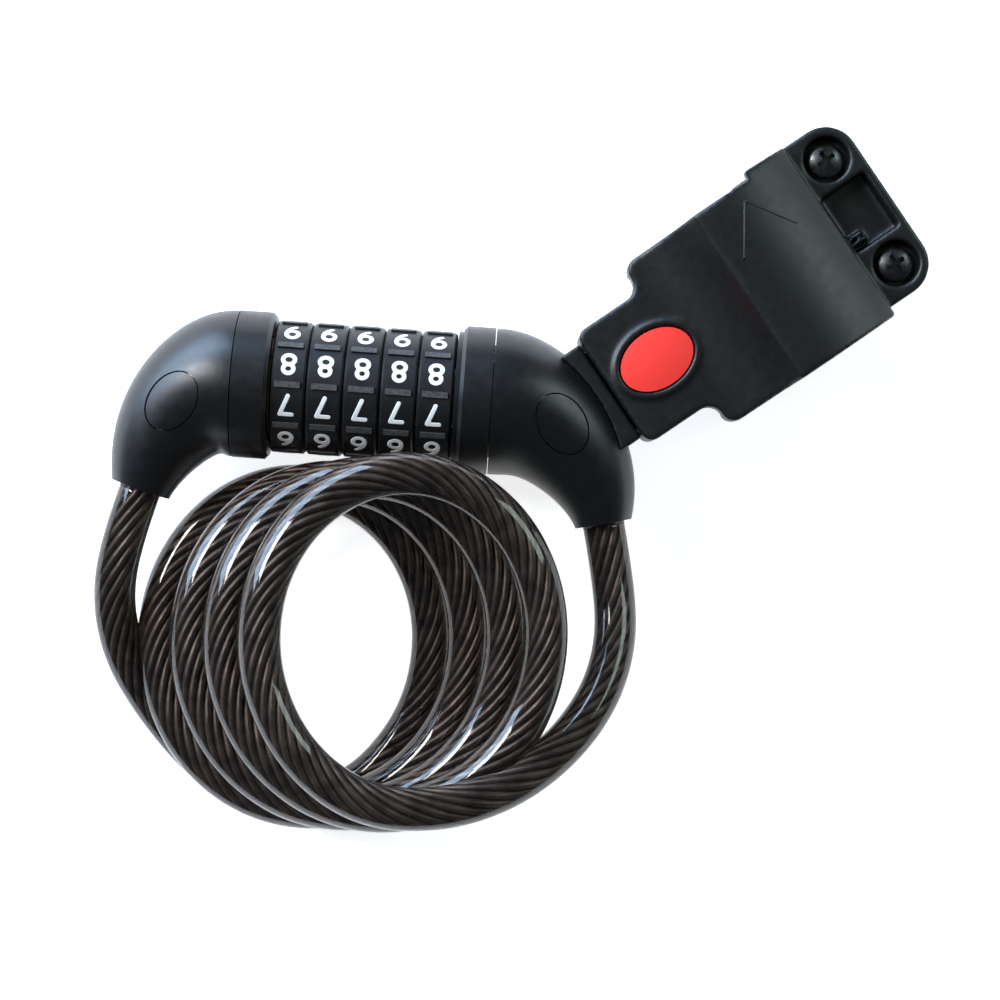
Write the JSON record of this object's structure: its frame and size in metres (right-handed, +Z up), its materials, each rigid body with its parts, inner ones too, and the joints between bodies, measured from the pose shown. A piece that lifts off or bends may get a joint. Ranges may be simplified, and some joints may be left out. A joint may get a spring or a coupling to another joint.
{
  "type": "combination cable lock",
  "caption": "Combination dial cable lock with curved end heads, a coiled clear-sheathed steel cable and a quick-release tube clamp bracket.",
  "frame": {"origin": "bottom centre of the box around the lock bar and bracket, leaving out the cable, on the surface it lies on", "axes": "+X along the dial axis towards the bracket, +Y away from the coil, +Z up, the face with the button and the reading line of the dials"},
  "size_m": [0.1929, 0.1772, 0.051],
  "materials": {
    "dial_plastic": "matte black, white digits, fine grip ribs",
    "head_plastic": "satin black moulding with a fine grain",
    "collar_plastic": "satin black",
    "bracket_plastic": "satin black glass-filled nylon, slightly greener than the heads",
    "liner_rubber": "matte black rubber",
    "black_screw_steel": "black zinc",
    "red_plastic": "glossy red",
    "cable_sheath": "clear smoke-tinted sheath over twisted steel wire",
    "zinc": "die-cast zinc",
    "brass_washer": "plain brass",
    "steel": "plated steel"
  },
  "bodies": {
    "lock_body": {"bracket_lug": "bracket_plastic", "cable_coil": "cable_sheath", "cable_lead_right": "cable_sheath", "core_clip": "steel", "core_pin": "steel", "core_washer": "brass_washer", "detent_strip": "steel", "dial_spacer": "collar_plastic", "lock_core": "zinc", "lug_screw": "black_screw_steel", "right_collar": "collar_plastic", "right_ferrule": "steel", "right_head_block": "zinc", "right_head_shell": "head_plastic", "right_oval_plate": "head_plastic"},
    "left_head": {"left_head_shell": "head_plastic", "left_oval_plate": "head_plastic", "left_ferrule": "steel", "left_head_block": "zinc", "left_collar": "collar_plastic", "bolt": "steel", "bolt_pin": "steel", "cable_lead_left": "cable_sheath"},
    "bracket": {"bracket_upper_half": "bracket_plastic", "bracket_lower_half": "bracket_plastic", "clamp_screw_1": "black_screw_steel", "clamp_screw_2": "black_screw_steel", "clamp_nut_1": "black_screw_steel", "clamp_nut_2": "black_screw_steel", "hinge_pin_1": "steel", "hinge_pin_2": "steel", "clamp_liner_upper": "liner_rubber", "clamp_liner_lower": "liner_rubber", "button_spring": "steel", "latch_leaf": "steel", "latch_cover": "bracket_plastic"},
    "release_button": {"release_button": "red_plastic"},
    "dial_1": {"dial_ring_1": "dial_plastic", "code_disc_1": "zinc"},
    "dial_2": {"dial_ring_2": "dial_plastic", "code_disc_2": "zinc"},
    "dial_3": {"dial_ring_3": "dial_plastic", "code_disc_3": "zinc"},
    "dial_4": {"dial_ring_4": "dial_plastic", "code_disc_4": "zinc"},
    "dial_5": {"dial_ring_5": "dial_plastic", "code_disc_5": "zinc"}
  },
  "joints": [
    {"name": "dial_1_turn", "type": "hinge", "parent": "lock_body", "child": "dial_1", "pos_m": [-0.05312, -0.02042, 0.021], "axis": [1, 0, 0], "continuous": true, "deforming": ["detent_strip"]},
    {"name": "dial_2_turn", "type": "hinge", "parent": "lock_body", "child": "dial_2", "pos_m": [-0.04451, -0.02042, 0.021], "axis": [1, 0, 0], "continuous": true, "deforming": ["detent_strip"]},
    {"name": "dial_3_turn", "type": "hinge", "parent": "lock_body", "child": "dial_3", "pos_m": [-0.03592, -0.02042, 0.021], "axis": [1, 0, 0], "continuous": true, "deforming": ["detent_strip"]},
    {"name": "dial_4_turn", "type": "hinge", "parent": "lock_body", "child": "dial_4", "pos_m": [-0.02731, -0.02042, 0.021], "axis": [1, 0, 0], "continuous": true, "deforming": ["detent_strip"]},
    {"name": "dial_5_turn", "type": "hinge", "parent": "lock_body", "child": "dial_5", "pos_m": [-0.01871, -0.02042, 0.021], "axis": [1, 0, 0], "continuous": true, "deforming": ["detent_strip"]},
    {"name": "head_pull", "type": "slide", "parent": "lock_body", "child": "left_head", "axis": [-1, 0, 0], "range_m": [0, 0.052]},
    {"name": "bracket_release", "type": "slide", "parent": "lock_body", "child": "bracket", "axis": [0.788, 0.6157, 0], "range_m": [0, 0.024], "deforming": ["latch_leaf"]},
    {"name": "button_press", "type": "slide", "parent": "bracket", "child": "release_button", "axis": [0, 0, -1], "range_m": [0, 0.0014], "stiffness_N_per_m": 2500, "deforming": ["button_spring", "latch_leaf"]}
  ]
}
